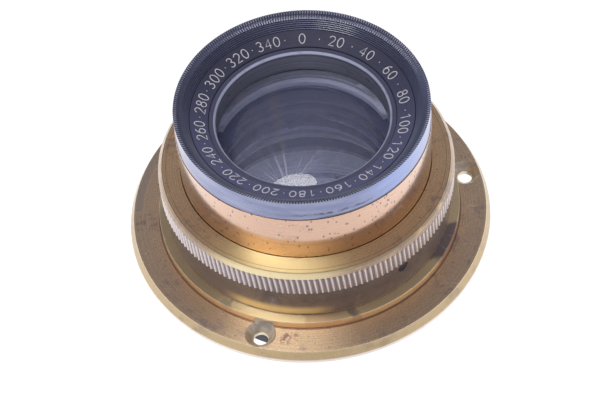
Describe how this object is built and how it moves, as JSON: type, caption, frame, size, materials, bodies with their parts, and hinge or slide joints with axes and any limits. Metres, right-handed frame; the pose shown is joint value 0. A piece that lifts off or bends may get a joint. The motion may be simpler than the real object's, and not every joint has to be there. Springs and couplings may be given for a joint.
{
  "type": "brass barrel lens with mounting flange",
  "caption": "Round brass barrel lens: glazed front and rear cells, iris with a knurled control ring, and a flange with countersunk screw holes.",
  "frame": {"origin": "centre of the rear rim's lower face, on the optical axis, where the lens stands", "axes": "+Z along the optical axis towards the front glass; the flange's back face is the plane z = 10 mm; -Y towards the viewer"},
  "size_m": [0.054, 0.054, 0.0349],
  "materials": {
    "flange_brass": "turned lacquered brass, tarnished and spotted, bright where it catches the light",
    "body_brass": "turned brass under darkened lacquer",
    "barrel_brass": "lacquered brass with dark specks",
    "ring_brass": "turned brass with a helical knurl, silvered at the crests",
    "rim_nickel": "satin nickel with worn black paint",
    "black_enamel": "satin black with fine turning lines and filled engraving",
    "black_brass": "satin black, rubbed bright at the edges",
    "rear_black": "satin black with rubbed rims",
    "blued_brass": "matt black",
    "leaf_steel": "blued spring steel, matt",
    "screw_steel": "blued steel",
    "optical_glass": "polished uncoated glass"
  },
  "bodies": {
    "flange": {"mounting_flange": "flange_brass"},
    "barrel": {"main_barrel": "body_brass", "front_barrel": "barrel_brass", "iris_base_plate": "blued_brass", "index_stud": "screw_steel"},
    "iris_control": {"iris_control_ring": "ring_brass", "iris_drive_screw": "screw_steel", "iris_cam_ring": "blued_brass", "iris_cover_ring": "screw_steel"},
    "front_cell": {"front_cell_mount": "black_brass", "front_rim_ring": "rim_nickel", "front_name_ring": "black_enamel", "front_bezel_ring": "black_brass", "front_outer_element": "optical_glass", "front_middle_element": "optical_glass", "front_inner_element": "optical_glass"},
    "rear_cell": {"rear_cell_mount": "rear_black", "rear_bezel_ring": "black_brass", "rear_outer_element": "optical_glass", "rear_middle_element": "optical_glass", "rear_inner_element": "optical_glass"},
    "leaf_01": {"iris_leaf_01": "leaf_steel"},
    "leaf_02": {"iris_leaf_02": "leaf_steel"},
    "leaf_03": {"iris_leaf_03": "leaf_steel"},
    "leaf_04": {"iris_leaf_04": "leaf_steel"},
    "leaf_05": {"iris_leaf_05": "leaf_steel"},
    "leaf_06": {"iris_leaf_06": "leaf_steel"},
    "leaf_07": {"iris_leaf_07": "leaf_steel"},
    "leaf_08": {"iris_leaf_08": "leaf_steel"},
    "leaf_09": {"iris_leaf_09": "leaf_steel"},
    "leaf_10": {"iris_leaf_10": "leaf_steel"}
  },
  "joints": [
    {"name": "lens_out_of_flange", "type": "slide", "parent": "flange", "child": "barrel", "axis": [0, 0, 1], "range_m": [0, 0.015]},
    {"name": "iris_ring_turn", "type": "hinge", "parent": "barrel", "child": "iris_control", "pos_m": [0, 0, 0.0208], "axis": [0, 0, 1], "range_deg": [0, 64]},
    {"name": "front_cell_out", "type": "slide", "parent": "barrel", "child": "front_cell", "axis": [0, 0, 1], "range_m": [0, 0.014]},
    {"name": "rear_cell_out", "type": "slide", "parent": "barrel", "child": "rear_cell", "axis": [0, 0, -1], "range_m": [0, 0.012]},
    {"name": "leaf_01_swing", "type": "hinge", "parent": "barrel", "child": "leaf_01", "pos_m": [0.0169, 0, 0.0154], "axis": [0, 0, 1], "range_deg": [0, 31]},
    {"name": "leaf_02_swing", "type": "hinge", "parent": "barrel", "child": "leaf_02", "pos_m": [0.01367, 0.00993, 0.01557], "axis": [0, 0, 1], "range_deg": [0, 31]},
    {"name": "leaf_03_swing", "type": "hinge", "parent": "barrel", "child": "leaf_03", "pos_m": [0.00522, 0.01607, 0.01574], "axis": [0, 0, 1], "range_deg": [0, 31]},
    {"name": "leaf_04_swing", "type": "hinge", "parent": "barrel", "child": "leaf_04", "pos_m": [-0.00522, 0.01607, 0.01591], "axis": [0, 0, 1], "range_deg": [0, 31]},
    {"name": "leaf_05_swing", "type": "hinge", "parent": "barrel", "child": "leaf_05", "pos_m": [-0.01367, 0.00993, 0.01608], "axis": [0, 0, 1], "range_deg": [0, 31]},
    {"name": "leaf_06_swing", "type": "hinge", "parent": "barrel", "child": "leaf_06", "pos_m": [-0.0169, 0, 0.01625], "axis": [0, 0, 1], "range_deg": [0, 31]},
    {"name": "leaf_07_swing", "type": "hinge", "parent": "barrel", "child": "leaf_07", "pos_m": [-0.01367, -0.00993, 0.01642], "axis": [0, 0, 1], "range_deg": [0, 31]},
    {"name": "leaf_08_swing", "type": "hinge", "parent": "barrel", "child": "leaf_08", "pos_m": [-0.00522, -0.01607, 0.01659], "axis": [0, 0, 1], "range_deg": [0, 31]},
    {"name": "leaf_09_swing", "type": "hinge", "parent": "barrel", "child": "leaf_09", "pos_m": [0.00522, -0.01607, 0.01676], "axis": [0, 0, 1], "range_deg": [0, 31]},
    {"name": "leaf_10_swing", "type": "hinge", "parent": "barrel", "child": "leaf_10", "pos_m": [0.01367, -0.00993, 0.01693], "axis": [0, 0, 1], "range_deg": [0, 31]}
  ],
  "couplings": [
    {"joint": "leaf_01_swing", "follows": "iris_ring_turn", "ratio": 0.48281},
    {"joint": "leaf_02_swing", "follows": "iris_ring_turn", "ratio": 0.48281},
    {"joint": "leaf_03_swing", "follows": "iris_ring_turn", "ratio": 0.48281},
    {"joint": "leaf_04_swing", "follows": "iris_ring_turn", "ratio": 0.48281},
    {"joint": "leaf_05_swing", "follows": "iris_ring_turn", "ratio": 0.48281},
    {"joint": "leaf_06_swing", "follows": "iris_ring_turn", "ratio": 0.48281},
    {"joint": "leaf_07_swing", "follows": "iris_ring_turn", "ratio": 0.48281},
    {"joint": "leaf_08_swing", "follows": "iris_ring_turn", "ratio": 0.48281},
    {"joint": "leaf_09_swing", "follows": "iris_ring_turn", "ratio": 0.48281},
    {"joint": "leaf_10_swing", "follows": "iris_ring_turn", "ratio": 0.48281}
  ]
}
